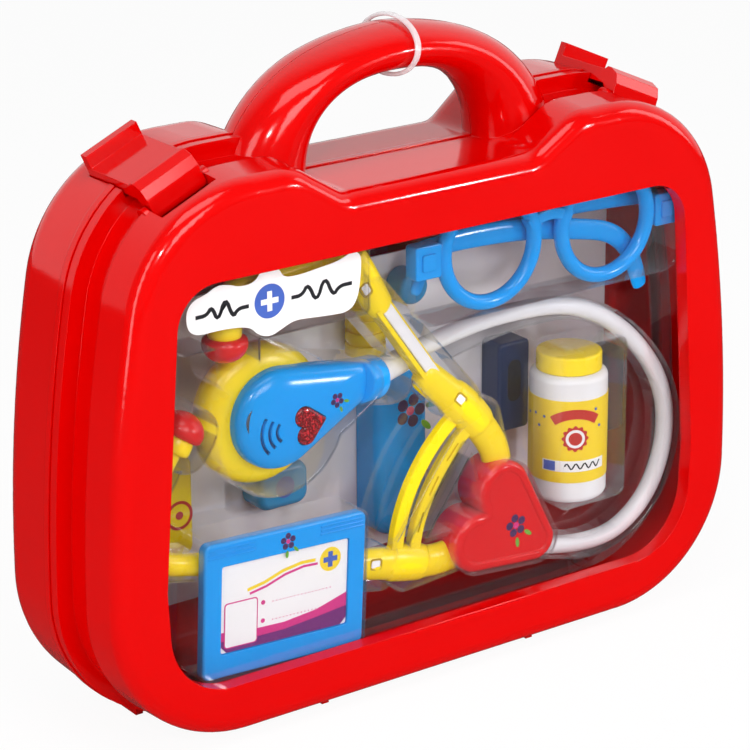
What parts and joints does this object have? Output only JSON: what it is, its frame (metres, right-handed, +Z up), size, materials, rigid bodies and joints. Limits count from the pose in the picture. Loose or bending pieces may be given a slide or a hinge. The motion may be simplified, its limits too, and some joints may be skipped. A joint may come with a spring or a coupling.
{
  "type": "toy doctor case",
  "caption": "Hinged two-shell plastic play case with handle, shoulder latches and an open window over a clear tray of toy medical instruments.",
  "frame": {"origin": "on the floor under the middle of the seam between the shells, where the case stands upright on its foot ribs", "axes": "+X across to the case's right seen from the window side, +Y from the window to the back, +Z up through the handle; the window faces -Y"},
  "size_m": [0.2896, 0.0728, 0.2425],
  "materials": {
    "red_plastic": "glossy moulded",
    "clear_sheet": "clear thermoformed",
    "print_card": "printed",
    "sticker_paper": "gloss print",
    "yellow_plastic": "glossy moulded",
    "cell_steel": "bright",
    "board_green": "solder resist",
    "blue_plastic": "glossy moulded",
    "heart_red": "glitter, translucent",
    "white_plastic": "glossy moulded",
    "white_soft": "soft vinyl",
    "hub_red": "glossy moulded",
    "tip_red": "soft vinyl",
    "label_paper": "printed",
    "pale_blue_plastic": "glossy moulded",
    "navy_plastic": "glossy moulded"
  },
  "bodies": {
    "rear": {"rear_shell": "red_plastic", "tray": "clear_sheet", "backing_card": "print_card", "window_sticker": "sticker_paper", "chest_base": "yellow_plastic", "battery_door": "yellow_plastic", "button_cells": "cell_steel", "circuit_board": "board_green", "chest_housing": "blue_plastic", "speaker": "cell_steel", "tube_neck": "white_plastic", "stethoscope_tube": "white_soft", "hub_front": "hub_red", "hub_back": "hub_red", "hub_screws": "cell_steel", "yoke_upper": "yellow_plastic", "yoke_lower": "yellow_plastic", "arm_upper": "yellow_plastic", "arm_lower": "yellow_plastic", "slide_rods": "white_plastic", "pivot_pins": "white_plastic", "ear_tube_upper": "yellow_plastic", "ear_tube_lower": "yellow_plastic", "ear_collars": "yellow_plastic", "ear_tips": "tip_red", "spring_band": "yellow_plastic", "glasses_frame": "blue_plastic", "temple_left": "blue_plastic", "temple_right": "blue_plastic", "bottle": "white_plastic", "bottle_cap": "yellow_plastic", "bottle_label": "label_paper", "badge_frame": "blue_plastic", "badge_card": "label_paper", "badge_clip": "cell_steel", "otoscope_handle": "blue_plastic", "otoscope_head": "yellow_plastic", "otoscope_lens": "pale_blue_plastic", "thermometer": "yellow_plastic", "hammer_head": "pale_blue_plastic", "pager": "navy_plastic", "pill_box": "navy_plastic"},
    "front": {"front_shell": "red_plastic"},
    "latch_left": {"latch_left": "red_plastic"},
    "latch_right": {"latch_right": "red_plastic"},
    "heart_button": {"heart_button": "heart_red"}
  },
  "joints": [
    {"name": "front_hinge", "type": "hinge", "parent": "rear", "child": "front", "pos_m": [0, 0, 0.00195], "axis": [1, 0, 0], "range_deg": [0, 120]},
    {"name": "latch_right_hinge", "type": "hinge", "parent": "front", "child": "latch_right", "pos_m": [0.09918, -0.0165, 0.19997], "axis": [0.9135, 0, -0.4067], "range_deg": [0, 60]},
    {"name": "latch_left_hinge", "type": "hinge", "parent": "front", "child": "latch_left", "pos_m": [-0.09918, -0.0165, 0.19997], "axis": [0.9135, 0, 0.4067], "range_deg": [0, 60]},
    {"name": "heart_button_slide", "type": "slide", "parent": "rear", "child": "heart_button", "axis": [0, 1, 0], "range_m": [0, 0.001], "stiffness_N_per_m": 200, "springref_m": -0.002}
  ]
}
